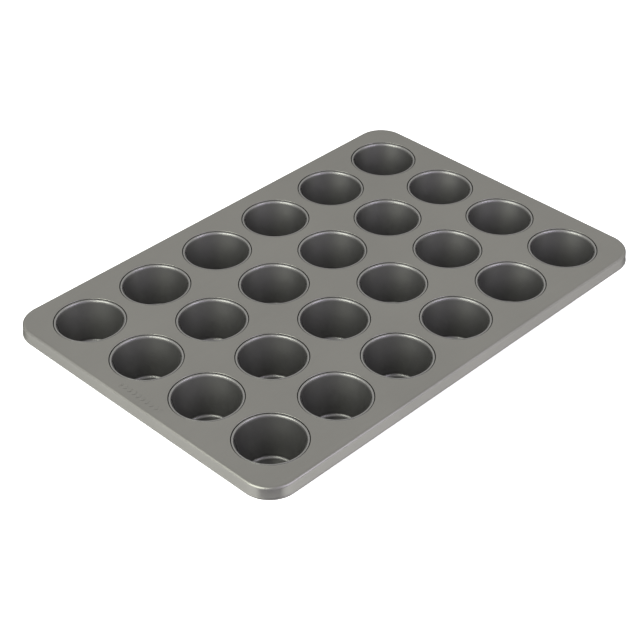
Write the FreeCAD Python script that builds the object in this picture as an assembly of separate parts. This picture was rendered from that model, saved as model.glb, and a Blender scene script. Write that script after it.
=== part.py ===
"""Commercial muffin tin: one flat frame sheet with a turned-down, wired rim, and a
grid of separate drawn cups, each locked into its own hole by a crimped seam.

Origin: centre of the plan, on the plane that the cup floors stand on.
+X runs along the long side, +Y along the short side, +Z up. Millimetres and degrees.
"""
import FreeCAD, Part
import math
import os

# ---- overall size and cup grid ----
LENGTH = 520.7          # over the rolled rim, along X
WIDTH = 355.6           # over the rolled rim, along Y
HEIGHT = 43.5           # from the cup floors' underside to the top of the sheet
ROWS = 4                # along Y
COLUMNS = 6             # along X
PITCH_X = 82.3          # cup to cup along X
PITCH_Y = 82.0          # cup to cup along Y

# ---- metal ----
SHEET = 0.6             # thickness of the frame sheet
CUP_METAL = 0.5         # thickness of a drawn cup
SEAM_GAP = 0.06         # air between the layers of a seam
FLAT_TURN = 30.0        # most that one short flat of a bend turns, in degrees

# ---- one cup ----
MOUTH_R = 32.0          # inside radius just below the lip
WALL_DRAFT = 11.0       # lean of the wall from vertical
FLOOR_BEND_R = 3.5      # inside radius between wall and floor
LIP_BEND_R = 0.85       # inside radius of the turned-over lip
LIP_DROP = 0.4          # lip's top below the sheet's top
CRIMP_DEPTH = 4.3       # end of the lip's outer leg below the sheet's top

# ---- seam in the frame sheet round each cup ----
HOLE_BEND_R = 0.95      # outside radius where the sheet turns down into the hole
HOOK_RISE = 2.0         # length of the sheet's last leg, which hooks up inside the cup's leg

# ---- skirt and rolled rim ----
SKIRT_DEPTH = 13.5      # from the sheet's top to the underside of the roll
SKIRT_BEND_R = 2.8      # outside radius between the flat sheet and the skirt
SKIRT_LEAN = 3.0        # skirt leans outward going down
CORNER_R = 29.5         # plan radius of the corners, at the outside of the roll
FLARE_BEND_R = 0.7      # outside radius where the skirt turns out to the roll
FLARE_TURN = 32.0       # how far the skirt turns out there
ROLL_R = 1.9            # outside radius of the roll
ROLL_TURN = 246.0       # how far the sheet wraps round the wire
WIRE_GAP = 0.05         # air between the wire and the sheet wrapped round it


def point(distance, height):
    """A point of a section, which is drawn in the XZ plane."""
    return FreeCAD.Vector(distance, 0, height)


def polar(centre, radius, degrees):
    """The point of a section at an angle round a centre, 0 outward and 90 up."""
    turn = math.radians(degrees)
    return centre + point(radius * math.cos(turn), radius * math.sin(turn))


def bent_sheet(start, heading, steps, thickness):
    """Section of a sheet that is run straight and bent in turn along its middle line.

    steps holds ("run", length) and ("bend", middle radius, degrees), where a positive
    bend turns to the left of the heading and a negative one to its right. A bend is a
    row of short flats with their ends on the round, none turning more than FLAT_TURN.
    """
    left_side = [polar(start, thickness / 2, heading + 90)]
    right_side = [polar(start, thickness / 2, heading - 90)]
    here = start
    for step in steps:
        if step[0] == "run":
            here = polar(here, step[1], heading)
            left_side.append(polar(here, thickness / 2, heading + 90))
            right_side.append(polar(here, thickness / 2, heading - 90))
            continue
        radius, turn = step[1], step[2]
        side = math.copysign(90, turn)
        centre = polar(here, radius, heading + side)
        flats = math.ceil(abs(turn) / FLAT_TURN)
        for flat in range(flats):
            heading += turn / flats
            here = polar(centre, radius, heading - side)
            left_side.append(polar(here, thickness / 2, heading + 90))
            right_side.append(polar(here, thickness / 2, heading - 90))
    outline = left_side + right_side[::-1]
    return Part.Face(Part.makePolygon(outline + outline[:1]))


def spin(face, degrees=360.0):
    """The solid that a section sweeps about the Z axis, starting in the XZ plane."""
    return face.revolve(FreeCAD.Vector(0, 0, 0), FreeCAD.Vector(0, 0, 1), degrees)


def moved(shape, x, y, turn=0.0):
    """A copy of a shape, turned about Z and then moved in plan."""
    copy = shape.copy()
    copy.Placement = FreeCAD.Placement(
        FreeCAD.Vector(x, y, 0), FreeCAD.Rotation(FreeCAD.Vector(0, 0, 1), turn)
    )
    return copy


def cup_places():
    """Row, column and plan position of every cup, counted from the -X, +Y corner."""
    for row in range(ROWS):
        for column in range(COLUMNS):
            x = (column - (COLUMNS - 1) / 2) * PITCH_X
            y = ((ROWS - 1) / 2 - row) * PITCH_Y
            yield row + 1, column + 1, x, y


# ---- cup: floor, drafted wall, lip turned over to a straight outer leg ----
DRAFT = math.radians(WALL_DRAFT)
FLOOR_BEND_MID = FLOOR_BEND_R + CUP_METAL / 2
LIP_BEND_MID = LIP_BEND_R + CUP_METAL / 2
LIP_CENTRE_Z = HEIGHT - LIP_DROP - CUP_METAL / 2 - LIP_BEND_MID
WALL_TOP_R = MOUTH_R + CUP_METAL / 2 / math.cos(DRAFT)
LIP_CENTRE_R = WALL_TOP_R + LIP_BEND_MID * math.cos(DRAFT)
LEG_R = LIP_CENTRE_R + LIP_BEND_MID


def cup():
    """One drawn cup, centred on the Z axis."""
    wall_top_z = LIP_CENTRE_Z + LIP_BEND_MID * math.sin(DRAFT)
    wall_foot_z = CUP_METAL / 2 + FLOOR_BEND_MID * (1 - math.sin(DRAFT))
    wall = (wall_top_z - wall_foot_z) / math.cos(DRAFT)
    wall_foot_r = WALL_TOP_R - wall * math.sin(DRAFT)
    floor_r = wall_foot_r - FLOOR_BEND_MID * math.cos(DRAFT)
    leg = LIP_CENTRE_Z - (HEIGHT - CRIMP_DEPTH)
    steps = [
        ("run", floor_r),
        ("bend", FLOOR_BEND_MID, 90 - WALL_DRAFT),
        ("run", wall),
        ("bend", LIP_BEND_MID, -(180 - WALL_DRAFT)),
        ("run", leg),
    ]
    return spin(bent_sheet(point(0, CUP_METAL / 2), 0, steps, CUP_METAL))


# ---- frame sheet: flat top, a hooked collar round each cup, skirt and rolled rim ----
SHEET_MID_Z = HEIGHT - SHEET / 2
COLLAR_R = LEG_R + CUP_METAL / 2 + SEAM_GAP + SHEET / 2
HOLE_BEND_MID = HOLE_BEND_R - SHEET / 2
HOLE_R = COLLAR_R + HOLE_BEND_MID
ROLL_MID = ROLL_R - SHEET / 2
ROLL_IN = CORNER_R - ROLL_R                     # roll's centre, out from a corner's centre
ROLL_Z = HEIGHT - SKIRT_DEPTH + ROLL_R
CORNER_X = LENGTH / 2 - CORNER_R                # plan position of the corners' centres
CORNER_Y = WIDTH / 2 - CORNER_R


def collar():
    """The sheet's turned-down edge in a hole, hooked up inside the cup's outer leg."""
    hook_mid = (CUP_METAL + 2 * SEAM_GAP + SHEET) / 2
    down = CRIMP_DEPTH + SEAM_GAP - SHEET / 2 - HOLE_BEND_MID
    steps = [
        ("bend", HOLE_BEND_MID, 90),
        ("run", down),
        ("bend", hook_mid, -180),
        ("run", HOOK_RISE),
    ]
    return spin(bent_sheet(point(HOLE_R, SHEET_MID_Z), 180, steps, SHEET))


def rim_section():
    """Section from the flat sheet's edge to the end of the roll, out from a corner's centre.

    It is worked back from the roll's centre: the flare is tangent to the roll and to the
    skirt, and the skirt is tangent to the bend at the sheet's edge.
    """
    flare_mid = FLARE_BEND_R + SHEET / 2
    skirt_bend_mid = SKIRT_BEND_R - SHEET / 2
    flare_centre = polar(point(ROLL_IN, ROLL_Z), ROLL_MID + flare_mid, SKIRT_LEAN + FLARE_TURN)
    skirt_foot = polar(flare_centre, flare_mid, SKIRT_LEAN + 180)
    bend_end_z = SHEET_MID_Z - skirt_bend_mid * (1 - math.sin(math.radians(SKIRT_LEAN)))
    skirt = (bend_end_z - skirt_foot.z) / math.cos(math.radians(SKIRT_LEAN))
    skirt_head = polar(skirt_foot, skirt, SKIRT_LEAN + 90)
    bend_centre = polar(skirt_head, skirt_bend_mid, SKIRT_LEAN + 180)
    steps = [
        ("bend", skirt_bend_mid, SKIRT_LEAN - 90),
        ("run", skirt),
        ("bend", flare_mid, FLARE_TURN),
        ("bend", ROLL_MID, -ROLL_TURN),
    ]
    return bent_sheet(point(bend_centre.x, SHEET_MID_Z), 0, steps, SHEET), bend_centre.x


def round_rim(section):
    """Sweep a section along the rim: four straight sides and four quarter turns."""
    long_side = section.extrude(FreeCAD.Vector(0, 2 * CORNER_Y, 0))
    short_side = section.extrude(FreeCAD.Vector(0, 2 * CORNER_X, 0))
    corner = spin(section, 90.0)
    return [
        moved(long_side, CORNER_X, -CORNER_Y),
        moved(short_side, CORNER_X, CORNER_Y, 90),
        moved(long_side, -CORNER_X, CORNER_Y, 180),
        moved(short_side, -CORNER_X, -CORNER_Y, 270),
        moved(corner, CORNER_X, CORNER_Y),
        moved(corner, -CORNER_X, CORNER_Y, 90),
        moved(corner, -CORNER_X, -CORNER_Y, 180),
        moved(corner, CORNER_X, -CORNER_Y, 270),
    ]


def top_sheet(corner_radius):
    """The flat sheet inside the rim's bend, with a plain hole for each collar."""
    half_x = CORNER_X + corner_radius
    half_y = CORNER_Y + corner_radius
    bottom = HEIGHT - SHEET
    blank = Part.makeBox(2 * half_x, 2 * half_y, SHEET, FreeCAD.Vector(-half_x, -half_y, bottom))
    upright = [
        edge for edge in blank.Edges
        if abs(edge.Vertexes[0].Z - edge.Vertexes[-1].Z) > SHEET / 2
    ]
    blank = blank.makeFillet(corner_radius, upright)
    drills = [
        Part.makeCylinder(HOLE_R, 3 * SHEET, FreeCAD.Vector(x, y, bottom - SHEET))
        for row, column, x, y in cup_places()
    ]
    return blank.cut(drills)


def frame_sheet():
    """The one-piece frame: flat sheet, collars, skirt and rolled rim."""
    section, corner_radius = rim_section()
    ring = collar()
    pieces = [moved(ring, x, y) for row, column, x, y in cup_places()]
    pieces += round_rim(section)
    return top_sheet(corner_radius).fuse(pieces).removeSplitter()


# ---- wire inside the roll ----
def rim_wire():
    """The closed hoop of round wire that the skirt's edge is rolled round."""
    radius = ROLL_R - SHEET - WIRE_GAP
    circle = Part.Circle(point(ROLL_IN, ROLL_Z), FreeCAD.Vector(0, 1, 0), radius)
    runs = round_rim(Part.Face(Part.Wire(circle.toShape())))
    return runs[0].fuse(runs[1:]).removeSplitter()


def save(name, shape):
    """Write one sub-part, after checking that it is one sound solid."""
    if len(shape.Solids) != 1 or not shape.isValid():
        raise RuntimeError(name + " is not one valid solid")
    shape.Solids[0].exportStep("parts/" + name + ".step")
    print(name, "volume", round(shape.Volume, 1), "mm3")


os.makedirs("parts", exist_ok=True)
save("frame_sheet", frame_sheet())
save("rim_wire", rim_wire())
one_cup = cup()
for row, column, x, y in cup_places():
    save("cup_r%d_c%d" % (row, column), moved(one_cup, x, y))
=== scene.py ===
import math

import bmesh
import bpy
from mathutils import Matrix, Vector


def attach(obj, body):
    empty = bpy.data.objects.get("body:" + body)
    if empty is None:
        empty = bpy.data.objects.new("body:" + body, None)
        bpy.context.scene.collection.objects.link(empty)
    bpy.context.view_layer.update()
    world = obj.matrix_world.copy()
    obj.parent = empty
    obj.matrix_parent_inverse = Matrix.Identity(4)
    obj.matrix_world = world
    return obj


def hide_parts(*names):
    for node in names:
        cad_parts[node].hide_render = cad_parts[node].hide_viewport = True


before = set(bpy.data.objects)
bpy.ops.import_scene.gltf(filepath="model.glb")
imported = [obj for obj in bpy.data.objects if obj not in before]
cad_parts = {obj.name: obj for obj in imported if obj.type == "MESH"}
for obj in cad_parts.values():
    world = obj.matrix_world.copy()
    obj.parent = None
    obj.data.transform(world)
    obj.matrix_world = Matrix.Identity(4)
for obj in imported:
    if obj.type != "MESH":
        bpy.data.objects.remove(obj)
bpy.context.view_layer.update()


# ---------------------------------------------------------------------------
# Frame sheet.
# One blank of 0.6 mm steel with a dark non-stick coating. The edge of each of its 24 holes is
# drawn down as a collar and hooked under its cup, and the rim is folded down into a short
# skirt that ends in a bead rolled round a wire.
# ---------------------------------------------------------------------------
MM = 0.001                      # in metres; the pan's own sizes are in millimetres
ROWS = 4
COLUMNS = 6
PITCH_X = 82.3
PITCH_Y = 82.0
SIDE_STEPS = 24                 # mesh steps along one side of a cup's square cell
HALF_STEPS = SIDE_STEPS // 2

SHEET = 0.6
SHEET_MID = 43.2                # height of the middle of the flat sheet
SHEET_FACES = (SHEET_MID + SHEET / 2, SHEET_MID - SHEET / 2)
EASE = 1.5                      # flat margin before a bend, so that shading stays even
HOLE_FLAT_R = 35.70
HOLE_BEND_R = 0.35
COLLAR_DEPTH = 3.71
HOOK_BEND_R = 0.70
HOOK_RISE = 2.0

CORNER_X = 230.85               # centres of the four rounded corners
CORNER_Y = 148.3
FLAT_OUT = 25.80                # from a corner's centre to the start of the skirt's bend
SKIRT_BEND_R = 2.5
SKIRT_TURN = -87
SKIRT_DROP = 7.8
FLARE_BEND_R = 1.0
FLARE_TURN = 32
ROLL_R = 1.56
ROLL_TURN = -246

# Painted shade: a near-black mixed into the coating's colour in the groove round each cup, under the
# rolled bead and on the cup floors. Each amount below is the most of it that is mixed in.
SEAM_R = 34.65                  # the groove between a cup's lip and its collar
SEAM_HALF = 0.5
BEAD_TOP = 32.0
PAINTED_SHADE = (0.02, 0.02, 0.018, 1.0)
SEAM_SHADE = 0.65
BEAD_SHADE = 0.7
FLOOR_SHADE = 0.3

STAMP_X = -248.0
STAMP_REACH = 26.9
STAMP_HALF_WIDTH = 4.0
STAMP_PITCH = 6.0
STAMP_SLOPE = 1.3
STAMP_DEPTH = 50.0              # in heights of the coating's own relief

COATING_SMOOTH = 0.33
COATING_DULL = 0.43
COATING_METAL = 0.92


def follow(start, heading, steps):
    """Points of a folded strip's mid line, each with the direction to its left-hand side.

    A step is ("run", length, pieces) or ("turn", radius, degrees, pieces), left turns positive."""
    r, z = start
    angle = math.radians(heading)
    line = [(r, z, -math.sin(angle), math.cos(angle))]
    for step in steps:
        pieces = step[-1]
        for _ in range(pieces):
            if step[0] == "run":
                r += step[1] / pieces * math.cos(angle)
                z += step[1] / pieces * math.sin(angle)
            else:
                part = math.radians(step[2]) / pieces
                chord = 2 * step[1] * math.sin(abs(part) / 2)
                r += chord * math.cos(angle + part / 2)
                z += chord * math.sin(angle + part / 2)
                angle += part
            line.append((r, z, -math.sin(angle), math.cos(angle)))
    return line


def both_faces(line, thickness):
    """The two faces of the strip as one outline: along its right side, back along its left."""
    half = thickness / 2
    right = [(r - a * half, z - b * half) for r, z, a, b in line]
    left = [(r + a * half, z + b * half) for r, z, a, b in line]
    return right + left[::-1]


class Shape:
    """Collects points in millimetres and faces, then becomes one smooth closed mesh object."""

    def __init__(self):
        self.points = []
        self.faces = []

    def row(self, points):
        """Adds a row of points and gives their numbers."""
        begin = len(self.points)
        self.points.extend(points)
        return list(range(begin, len(self.points)))

    def bridge(self, first, second):
        """Four-sided faces between two closed rows of equal length."""
        for i in range(len(first)):
            self.faces.append((first[i - 1], first[i], second[i], second[i - 1]))

    def loft(self, rows):
        for first, second in zip(rows, rows[1:]):
            self.bridge(first, second)

    def build(self, name, material):
        mesh = bpy.data.meshes.new(name)
        mesh.from_pydata([Vector(p) * MM for p in self.points], [], self.faces)
        work = bmesh.new()
        work.from_mesh(mesh)
        bmesh.ops.remove_doubles(work, verts=work.verts, dist=2e-6)
        bmesh.ops.recalc_face_normals(work, faces=work.faces)
        work.to_mesh(mesh)
        work.free()
        mesh.shade_smooth()
        mesh.materials.append(material)
        piece = bpy.data.objects.new(name, mesh)
        bpy.context.collection.objects.link(piece)
        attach(piece, "root")
        return piece


def cup_places():
    """Name ending and plan centre of each cup, row by row from the back left corner."""
    for row in range(ROWS):
        for column in range(COLUMNS):
            x = (column - (COLUMNS - 1) / 2) * PITCH_X
            y = ((ROWS - 1) / 2 - row) * PITCH_Y
            yield f"r{row + 1}_c{column + 1}", x, y


def ring(x, y, radius, z):
    """A level circle with its points at even angles."""
    count = 4 * SIDE_STEPS
    turn = 2 * math.pi / count
    return [(x + radius * math.cos(i * turn), y + radius * math.sin(i * turn), z)
            for i in range(count)]


def cell_edge(x, y, z):
    """The square round one cup, with one point for each point of its circle."""
    count = 4 * SIDE_STEPS
    points = []
    for i in range(count):
        a = 2 * math.pi * i / count
        reach = max(abs(math.cos(a)), abs(math.sin(a)))
        points.append((x + PITCH_X / 2 * math.cos(a) / reach,
                       y + PITCH_Y / 2 * math.sin(a) / reach, z))
    return points


def side_marks(cells):
    """Where the cells' mesh points meet half a side, from its middle to its last cell's centre.

    They are counted in cells, of which a side has an even number."""
    marks = []
    for i in range((cells - 1) * HALF_STEPS + 1):
        cell, step = divmod(i, SIDE_STEPS)
        slope = math.tan((step - HALF_STEPS) * (math.pi / 2) / SIDE_STEPS)
        marks.append(cell + 0.5 + slope / 2)
    return marks


def quarter_rim():
    """A quarter of the rim, anticlockwise from the middle of the right-hand side.

    Each station is a point on the cells' outer edge, the point on the corner centres' line
    that the rim is measured from, and the direction outwards."""
    edge_x = COLUMNS / 2 * PITCH_X
    edge_y = ROWS / 2 * PITCH_Y
    last_x = edge_x - PITCH_X / 2
    last_y = edge_y - PITCH_Y / 2
    right = [((edge_x, mark * PITCH_Y), (CORNER_X, mark * PITCH_Y), (1, 0))
             for mark in side_marks(ROWS)]

    slopes = [math.tan(i * math.pi / 2 / SIDE_STEPS) for i in range(HALF_STEPS + 1)]
    inner = [(edge_x, last_y + PITCH_Y / 2 * slope) for slope in slopes[1:]]
    inner += [(last_x + PITCH_X / 2 * slope, edge_y) for slope in slopes[-2::-1]]
    outer = [((CORNER_X, (last_y + CORNER_Y) / 2), (1, 0))]
    arc_steps = SIDE_STEPS - 4
    for i in range(arc_steps + 1):
        a = math.pi / 2 * i / arc_steps
        outer.append(((CORNER_X, CORNER_Y), (math.cos(a), math.sin(a))))
    outer.append((((last_x + CORNER_X) / 2, CORNER_Y), (0, 1)))
    outer.append(((last_x, CORNER_Y), (0, 1)))
    corner = [(point, centre, out) for point, (centre, out) in zip(inner, outer)]

    back = [((mark * PITCH_X, edge_y), (mark * PITCH_X, CORNER_Y), (0, 1))
            for mark in side_marks(COLUMNS)[-2::-1]]
    return right + corner + back


def rim_stations():
    """The stations of the whole rim, by mirroring the first quarter."""
    first = quarter_rim()

    def flipped(part, sx, sy):
        return [tuple((sx * p[0], sy * p[1]) for p in station) for station in part]

    around = first + flipped(first[:-1], -1, 1)[::-1]
    around += flipped(first[1:], -1, -1)
    around += flipped(first[1:-1], 1, -1)[::-1]
    return around


def rim_row(out, z):
    """One line of points all round the rim, out from the corner centres by the same amount."""
    return [(c[0] + d[0] * out, c[1] + d[1] * out, z) for _, c, d in rim_stations()]


def new_tree(owner):
    """An empty node tree for a material or a world."""
    owner.use_nodes = True
    owner.node_tree.nodes.clear()
    return owner.node_tree


def add(tree, kind, settings=None, **inputs):
    """Adds a node. Settings are its properties, and inputs are values or sockets to link in.

    An input is given by its name, or by its number, as in _0."""
    made = tree.nodes.new(kind)
    for key, value in (settings or {}).items():
        setattr(made, key, value)
    for key, value in inputs.items():
        place = int(key[1:]) if key[1:].isdigit() else key.replace("_", " ")
        if isinstance(value, bpy.types.NodeSocket):
            tree.links.new(value, made.inputs[place])
        else:
            made.inputs[place].default_value = value
    return made


def maths(tree, operation, a, b=0.0, c=0.0, clamp=False):
    """The result of one Math node."""
    return add(tree, "ShaderNodeMath", {"operation": operation, "use_clamp": clamp},
               _0=a, _1=b, _2=c).outputs[0]


def noise(tree, place, scale, detail, roughness=0.5):
    """The grey value of one Noise Texture."""
    return add(tree, "ShaderNodeTexNoise", Vector=place, Scale=scale, Detail=detail,
               Roughness=roughness).outputs[0]


def object_place(tree):
    """Where a point lies on the object, in metres."""
    return add(tree, "ShaderNodeTexCoord").outputs["Object"]


def blend_colours(tree, amount, first, second):
    """A mix of two colours, each a colour or a socket."""
    mix = add(tree, "ShaderNodeMix", {"data_type": "RGBA"}, Factor=amount)
    sockets = [s for s in mix.inputs if s.type == "RGBA"]
    for socket, colour in zip(sockets, (first, second)):
        if isinstance(colour, bpy.types.NodeSocket):
            tree.links.new(colour, socket)
        else:
            socket.default_value = colour
    return [s for s in mix.outputs if s.type == "RGBA"][0]


def coating_group():
    """The baked-on coating: cloudy tone, pinhead texture and faint lines left by the rolling mill."""
    group = bpy.data.node_groups.new("non_stick_coating", "ShaderNodeTree")
    face = group.interface
    for name in ("Cloud Size", "Peel Size", "Line Strength"):
        face.new_socket(name=name, in_out="INPUT", socket_type="NodeSocketFloat")
    for name in ("Tone", "Haze", "Relief"):
        face.new_socket(name=name, in_out="OUTPUT", socket_type="NodeSocketFloat")
    given = add(group, "NodeGroupInput")
    place = object_place(group)
    cloud = noise(group, place, given.outputs["Cloud Size"], 4.0, 0.55)
    peel = noise(group, place, given.outputs["Peel Size"], 2.0)
    speck = noise(group, place, 2600.0, 1.0)
    stretched = add(group, "ShaderNodeMapping", Vector=place, Scale=(5.0, 420.0, 420.0)).outputs[0]
    line = noise(group, stretched, 1.0, 3.0, 0.6)
    line_part = maths(group, "MULTIPLY", maths(group, "SUBTRACT", line, 0.5),
                      given.outputs["Line Strength"])
    tone = maths(group, "MULTIPLY_ADD", maths(group, "SUBTRACT", speck, 0.5), 0.35, cloud)
    haze = maths(group, "MULTIPLY_ADD", maths(group, "SUBTRACT", peel, 0.5), 0.5, cloud)
    relief = maths(group, "MULTIPLY_ADD", speck, 0.25, peel)
    add(group, "NodeGroupOutput",
        Tone=maths(group, "ADD", tone, line_part, clamp=True),
        Haze=maths(group, "ADD", haze, line_part, clamp=True),
        Relief=maths(group, "ADD", relief, line_part))


def mask_group(name):
    """A new node group that gives one mask, and the object's x, y and z inside it."""
    group = bpy.data.node_groups.new(name, "ShaderNodeTree")
    group.interface.new_socket(name="Mask", in_out="OUTPUT", socket_type="NodeSocketFloat")
    return group, add(group, "ShaderNodeSeparateXYZ", Vector=object_place(group)).outputs


def stamp_group():
    """Mask of a plain row of pressed lozenges beside the middle of the left-hand rim."""
    group, axes = mask_group("stamped_row")
    half_width = STAMP_HALF_WIDTH * MM
    across = maths(group, "ABSOLUTE", maths(group, "MULTIPLY_ADD", axes["X"],
                                            1 / half_width, -STAMP_X * MM / half_width))
    along = maths(group, "FRACT", maths(group, "MULTIPLY_ADD", axes["Y"],
                                        1 / (STAMP_PITCH * MM), 50.0))
    along = maths(group, "ABSOLUTE", maths(group, "MULTIPLY_ADD", along,
                                           2 * STAMP_SLOPE, -STAMP_SLOPE))
    inside = maths(group, "SUBTRACT", 1.0, maths(group, "ADD", across, along))
    inside = maths(group, "MULTIPLY", inside, 3.0, clamp=True)
    span = maths(group, "LESS_THAN", maths(group, "ABSOLUTE", axes["Y"]), STAMP_REACH * MM)
    add(group, "NodeGroupOutput", Mask=maths(group, "MULTIPLY", inside, span))


def painted_shade_group():
    """Mask of painted shade: darker in the groove round each cup, on the cup floors and under the
    rolled bead.
    """
    group, axes = mask_group("painted_shade")
    squares = []
    within = 1.0
    for axis, cells, pitch in (("X", COLUMNS, PITCH_X), ("Y", ROWS, PITCH_Y)):
        cell = maths(group, "FRACT", maths(group, "MULTIPLY_ADD", axes[axis],
                                           1 / (pitch * MM), 20.0))
        away = maths(group, "MULTIPLY_ADD", cell, pitch, -pitch / 2)
        squares.append(maths(group, "MULTIPLY", away, away))
        near = maths(group, "LESS_THAN", maths(group, "ABSOLUTE", axes[axis]),
                     cells * pitch * MM / 2)
        within = maths(group, "MULTIPLY", near, within)
    radius = maths(group, "SQRT", maths(group, "ADD", squares[0], squares[1]))
    # painted shade in the groove where each cup's lip meets its collar
    off_seam = maths(group, "ABSOLUTE", maths(group, "SUBTRACT", radius, SEAM_R))
    seam = maths(group, "MULTIPLY_ADD", off_seam, -5.0, 5.0 * SEAM_HALF, clamp=True)
    seam = maths(group, "MULTIPLY", maths(group, "MULTIPLY", seam, SEAM_SHADE), within)
    # painted shade along the underside of the rolled bead, full below 31 mm and gone at BEAD_TOP,
    # outside the cups' grid only
    low = maths(group, "MULTIPLY_ADD", axes["Z"], -1 / MM, BEAD_TOP, clamp=True)
    past = maths(group, "SUBTRACT", 1.0, within)
    bead = maths(group, "MULTIPLY", maths(group, "MULTIPLY", low, past), BEAD_SHADE)
    # painted shade on the cups' floors and undersides: full in the lowest 3 mm, gone by 5 mm
    floor_part = maths(group, "MULTIPLY_ADD", axes["Z"], -0.5 / MM, 2.5, clamp=True)
    floor_part = maths(group, "MULTIPLY", floor_part, FLOOR_SHADE)
    mask = maths(group, "MAXIMUM", maths(group, "MAXIMUM", seam, bead), floor_part)
    add(group, "NodeGroupOutput", Mask=mask)


def grey(value, warmth=0.0):
    """A grey of the given strength, a little warmer or cooler than neutral."""
    return (value * (1 + warmth / 5), value, value * (1 - warmth), 1.0)


def placed(tree, group_name, **inputs):
    """The outputs of a node group placed in a material."""
    return add(tree, "ShaderNodeGroup", {"node_tree": bpy.data.node_groups[group_name]},
               **inputs).outputs


def coated_material(name, dark, light, edge, relief, clouds, peel, lines, stamped=False):
    """Satin coated steel. Its tone runs from dark to light and its relief is in metres."""
    material = bpy.data.materials.new(name)
    tree = new_tree(material)
    coat = placed(tree, "non_stick_coating", Cloud_Size=clouds, Peel_Size=peel,
                  Line_Strength=lines)
    colour = blend_colours(tree, coat["Tone"], dark, light)
    # painted shade: the coating's colour is darkened towards near-black in the groove round each cup,
    # on the cup floors and under the rolled bead
    colour = blend_colours(tree, placed(tree, "painted_shade")["Mask"], colour, PAINTED_SHADE)
    rough = add(tree, "ShaderNodeMapRange", Value=coat["Haze"], To_Min=COATING_SMOOTH,
                To_Max=COATING_DULL)
    height = coat["Relief"]
    if stamped:
        height = maths(tree, "MULTIPLY_ADD", placed(tree, "stamped_row")["Mask"],
                       -STAMP_DEPTH, height)
    bump = add(tree, "ShaderNodeBump", Strength=1.0, Distance=relief, Height=height)
    shade = add(tree, "ShaderNodeBsdfPrincipled", Base_Color=colour, Metallic=COATING_METAL,
                Roughness=rough.outputs[0], Normal=bump.outputs[0],
                Specular_Tint=(edge, edge, edge, 1.0))
    add(tree, "ShaderNodeOutputMaterial", Surface=shade.outputs[0])
    return material


coating_group()
stamp_group()
painted_shade_group()
sheet_coating = coated_material("sheet_coating", dark=grey(0.192, 0.05), light=grey(0.242, 0.06),
                                edge=0.18, relief=0.006 * MM, clouds=9.0, peel=900.0,
                                lines=0.22, stamped=True)

sheet_shape = Shape()
collar_line = follow((HOLE_FLAT_R + EASE, SHEET_MID), 180, [
    ("run", EASE, 1), ("turn", HOLE_BEND_R, 90, 4), ("run", COLLAR_DEPTH, 1),
    ("turn", HOOK_BEND_R, -180, 5), ("run", HOOK_RISE, 1)])
collar_outline = both_faces(collar_line, SHEET)
for _, cup_x, cup_y in cup_places():
    collar_rows = [sheet_shape.row(ring(cup_x, cup_y, r, z)) for r, z in collar_outline]
    sheet_shape.loft(collar_rows)
    for z, near_row in zip(SHEET_FACES, (collar_rows[0], collar_rows[-1])):
        sheet_shape.bridge(near_row, sheet_shape.row(cell_edge(cup_x, cup_y, z)))

skirt_line = follow((FLAT_OUT - EASE, SHEET_MID), 0, [
    ("run", EASE, 1), ("turn", SKIRT_BEND_R, SKIRT_TURN, 8), ("run", SKIRT_DROP, 1),
    ("turn", FLARE_BEND_R, FLARE_TURN, 3), ("turn", ROLL_R, ROLL_TURN, 15)])
skirt_rows = [sheet_shape.row(rim_row(r, z)) for r, z in both_faces(skirt_line, SHEET)]
sheet_shape.loft(skirt_rows)
for z, near_row in zip(SHEET_FACES, (skirt_rows[-1], skirt_rows[0])):
    margin = [(p[0], p[1], z) for p, _, _ in rim_stations()]
    sheet_shape.bridge(near_row, sheet_shape.row(margin))
frame_sheet = sheet_shape.build("frame_sheet_visual", sheet_coating)
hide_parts("frame_sheet")


# ---------------------------------------------------------------------------
# Cups.
# 24 separate cups, each drawn from one 0.5 mm disc: flat floor, round floor bend, wall with
# 11 degrees of draft, and a lip turned outwards and down so that the sheet's hook grips it.
# They have the same dark coating, a little lighter and more neutral than on the sheet.
# ---------------------------------------------------------------------------
CUP_METAL = 0.5
FLOOR_MIDDLE = 20.0
FLOOR_EDGE = 1.05
FLOOR_BEND_R = 3.75
WALL_RISE = 79                  # degrees from the floor, so 11 of draft
WALL_FOOT = 1.2
WALL_LENGTH = 35.95
WALL_TOP = 0.4
NECK_R = 8.0
NECK_TURN = -15
LIP_R = 1.1
LIP_TURN = -154
LIP_LEG = 2.4
ON_AXIS = 0.001                 # outline points nearer the axis than this are left to the middle point

cup_coating = coated_material("cup_coating", dark=grey(0.215, 0.015), light=grey(0.265, 0.02),
                              edge=0.10, relief=0.005 * MM, clouds=14.0, peel=1100.0,
                              lines=0.15)
cup_line = follow((0.0, CUP_METAL / 2), 0, [
    ("run", FLOOR_MIDDLE, 4), ("run", FLOOR_EDGE, 1), ("turn", FLOOR_BEND_R, WALL_RISE, 10),
    ("run", WALL_FOOT, 1), ("run", WALL_LENGTH, 5), ("run", WALL_TOP, 1),
    ("turn", NECK_R, NECK_TURN, 4), ("turn", LIP_R, LIP_TURN, 11), ("run", LIP_LEG, 1)])
cup_outline = [(r, z) for r, z in both_faces(cup_line, CUP_METAL) if r > ON_AXIS]
for ending, cup_x, cup_y in cup_places():
    cup_shape = Shape()
    cup_rows = [cup_shape.row(ring(cup_x, cup_y, r, z)) for r, z in cup_outline]
    cup_shape.loft(cup_rows)
    for z, near_row in ((0.0, cup_rows[0]), (CUP_METAL, cup_rows[-1])):
        middle = cup_shape.row([(cup_x, cup_y, z)])[0]
        for i, j in zip(near_row, near_row[1:] + near_row[:1]):
            cup_shape.faces.append((middle, i, j))
    cup = cup_shape.build(f"cup_{ending}_visual", cup_coating)
    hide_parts(f"cup_{ending}")


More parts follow.
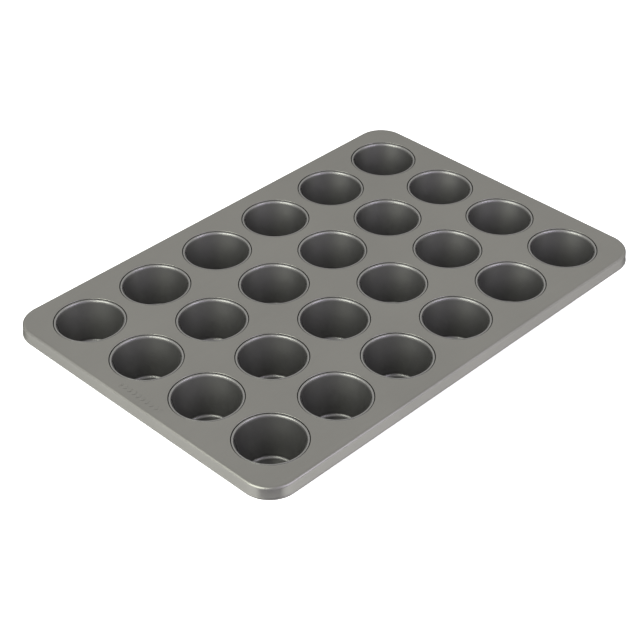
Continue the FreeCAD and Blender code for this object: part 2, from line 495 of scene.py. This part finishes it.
# ---------------------------------------------------------------------------
# Rim wire.
# A hoop of 2.5 mm bare steel wire, butted end to end, with the skirt's bead rolled round it
# to stiffen the edge. Only its inner side shows, from below.
# ---------------------------------------------------------------------------
WIRE_R = 1.25
WIRE_OUT = 27.6
WIRE_Z = 31.9
WIRE_SIDES = 12


def colour_ramp(tree, amount, stops):
    """A blend through at least two stops, each a place from 0 to 1 and a colour, in order."""
    ramp = add(tree, "ShaderNodeValToRGB", Fac=amount)
    elements = ramp.color_ramp.elements
    elements[0].position, elements[0].color = stops[0]
    elements[1].position, elements[1].color = stops[-1]
    for place, colour in stops[1:-1]:
        elements.new(place).color = colour
    return ramp.outputs[0]


def wire_material():
    """Drawn steel: bright and grey, with fine die lines and a few duller stretches."""
    material = bpy.data.materials.new("drawn_wire")
    tree = new_tree(material)
    place = object_place(tree)
    cloud = noise(tree, place, 60.0, 4.0)
    grain = noise(tree, place, 3000.0, 2.0)
    steel = colour_ramp(tree, cloud, ((0.0, grey(0.36, 0.01)), (1.0, grey(0.52, 0.01))))
    rough = add(tree, "ShaderNodeMapRange", Value=grain, To_Min=0.28, To_Max=0.5)
    bump = add(tree, "ShaderNodeBump", Strength=0.6, Distance=0.005 * MM, Height=grain)
    shade = add(tree, "ShaderNodeBsdfPrincipled", Base_Color=steel, Metallic=1.0,
                Roughness=rough.outputs[0], Normal=bump.outputs[0])
    add(tree, "ShaderNodeOutputMaterial", Surface=shade.outputs[0])
    return material


wire_shape = Shape()
wire_rows = []
for i in range(WIRE_SIDES):
    turn = 2 * math.pi * i / WIRE_SIDES
    wire_rows.append(wire_shape.row(rim_row(WIRE_OUT + WIRE_R * math.cos(turn),
                                            WIRE_Z + WIRE_R * math.sin(turn))))
wire_shape.loft(wire_rows + wire_rows[:1])
rim_wire = wire_shape.build("rim_wire_visual", wire_material())
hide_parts("rim_wire")


# ---------------------------------------------------------------------------
# Floor, light and camera.
# A plain pale floor in a pale graded room, with large softboxes to the left and right and a
# weak one in front. A dark card that the camera can't see keeps the skirt's near left corner
# dark, and the camera looks down from beyond that corner.
# ---------------------------------------------------------------------------
FLOOR_HALF = 8.0                # this section's sizes are in metres
FLOOR_DROP = 0.0002
FLOOR_GLOW = 0.79
ROOM_OPEN_WAY = (-0.69, -0.69, 0.2)
ROOM_TINTS = ((0.55, (1.0, 0.99, 0.96, 1.0)), (0.85, (0.60, 0.57, 0.64, 1.0)))
ROOM_HEIGHTS = ((0.0, 0.62), (0.28, 1.0), (0.45, 1.88), (0.57, 1.16), (0.72, 0.87), (1.0, 0.85))
FLAG_R = 0.078
FLAG_SIDES = 8
FLAG_START = -166
FLAG_SWEEP = 66
FLAG_HEIGHTS = (0.001, 0.034)
CAMERA_LENS = 94.75
CAMERA_PLACE = (-0.97067, -0.93209, 1.00275)
CAMERA_AIM = (-0.05268, -0.03345, 0.0435)


def stage_piece(name, points, faces, material):
    """A surface of the stage, which isn't part of the pan."""
    mesh = bpy.data.meshes.new(name)
    mesh.from_pydata(points, [], faces)
    mesh.materials.append(material)
    piece = bpy.data.objects.new(name, mesh)
    bpy.context.collection.objects.link(piece)
    return piece


def floor_material():
    """Pale matt paint that glows a little and is clear from below."""
    material = bpy.data.materials.new("floor_paint")
    tree = new_tree(material)
    cloud = add(tree, "ShaderNodeTexNoise", Scale=3.0, Detail=3.0).outputs[0]
    paint = colour_ramp(tree, cloud, ((0.0, grey(0.73)), (1.0, grey(0.76))))
    shade = add(tree, "ShaderNodeBsdfPrincipled", Base_Color=paint, Roughness=0.9,
                Emission_Color=(1.0, 1.0, 1.0, 1.0), Emission_Strength=FLOOR_GLOW)
    under = add(tree, "ShaderNodeNewGeometry").outputs["Backfacing"]
    clear = add(tree, "ShaderNodeBsdfTransparent")
    both = add(tree, "ShaderNodeMixShader", _0=under, _1=shade.outputs[0], _2=clear.outputs[0])
    add(tree, "ShaderNodeOutputMaterial", Surface=both.outputs[0])
    return material


def flag_material():
    """Dull dark cloth."""
    material = bpy.data.materials.new("flag_cloth")
    tree = new_tree(material)
    shade = add(tree, "ShaderNodeBsdfPrincipled", Base_Color=(0.10, 0.085, 0.13, 1.0),
                Roughness=0.9)
    add(tree, "ShaderNodeOutputMaterial", Surface=shade.outputs[0])
    return material


def light_room():
    """A pale room: dimmer towards the camera's side, brightest a third of the way up."""
    room = bpy.data.worlds.new("room")
    bpy.context.scene.world = room
    tree = new_tree(room)
    way = add(tree, "ShaderNodeTexCoord").outputs["Generated"]
    open_side = add(tree, "ShaderNodeVectorMath", {"operation": "DOT_PRODUCT"},
                    _0=way, _1=ROOM_OPEN_WAY).outputs["Value"]
    tint = colour_ramp(tree, maths(tree, "MULTIPLY_ADD", open_side, 0.5, 0.5), ROOM_TINTS)
    height = add(tree, "ShaderNodeSeparateXYZ", Vector=way).outputs["Z"]
    strength = colour_ramp(tree, height, [(place, grey(glow)) for place, glow in ROOM_HEIGHTS])
    light = add(tree, "ShaderNodeBackground", Color=tint, Strength=strength)
    add(tree, "ShaderNodeOutputWorld", Surface=light.outputs[0])


def softbox(name, place, width, height, power, colour):
    """A rectangular soft light that faces the middle of the pan."""
    light = bpy.data.lights.new(name, "AREA")
    light.shape = "RECTANGLE"
    light.size = width
    light.size_y = height
    light.energy = power
    light.color = colour
    holder = bpy.data.objects.new(name, light)
    holder.location = place
    holder.rotation_euler = (-Vector(place)).to_track_quat("-Z", "Y").to_euler()
    bpy.context.collection.objects.link(holder)


floor_points = [(x * FLOOR_HALF, y * FLOOR_HALF, -FLOOR_DROP)
                for x, y in ((-1, -1), (1, -1), (1, 1), (-1, 1))]
stage_piece("floor", floor_points, [(0, 1, 2, 3)], floor_material())

light_room()
softbox("left_softbox", (-1.425, -0.05, 0.95), 1.35, 1.35, 30, (0.97, 1.0, 0.87))
softbox("right_softbox", (0.28, -1.40, 0.95), 1.0, 1.0, 9.5, (1.0, 0.93, 1.16))
softbox("front_softbox", (-0.9, -0.9, 1.9), 1.4, 0.8, 0.9, (1.0, 0.99, 1.0))

flag_points = []
for i in range(FLAG_SIDES + 1):
    turn = math.radians(FLAG_START + FLAG_SWEEP * i / FLAG_SIDES)
    for z in FLAG_HEIGHTS:
        flag_points.append((-CORNER_X * MM + FLAG_R * math.cos(turn),
                            -CORNER_Y * MM + FLAG_R * math.sin(turn), z))
flag_faces = [(2 * i, 2 * i + 2, 2 * i + 3, 2 * i + 1) for i in range(FLAG_SIDES)]
flag = stage_piece("corner_flag", flag_points, flag_faces, flag_material())
flag.visible_camera = False
flag.visible_diffuse = False
flag.visible_shadow = False

camera_data = bpy.data.cameras.new("camera")
camera_data.lens = CAMERA_LENS
camera_data.sensor_width = 36
camera = bpy.data.objects.new("camera", camera_data)
camera.location = CAMERA_PLACE
camera.rotation_euler = (Vector(CAMERA_AIM) - camera.location).to_track_quat("-Z", "Y").to_euler()
bpy.context.collection.objects.link(camera)
bpy.context.scene.camera = camera
bpy.context.scene.view_settings.view_transform = "Standard"
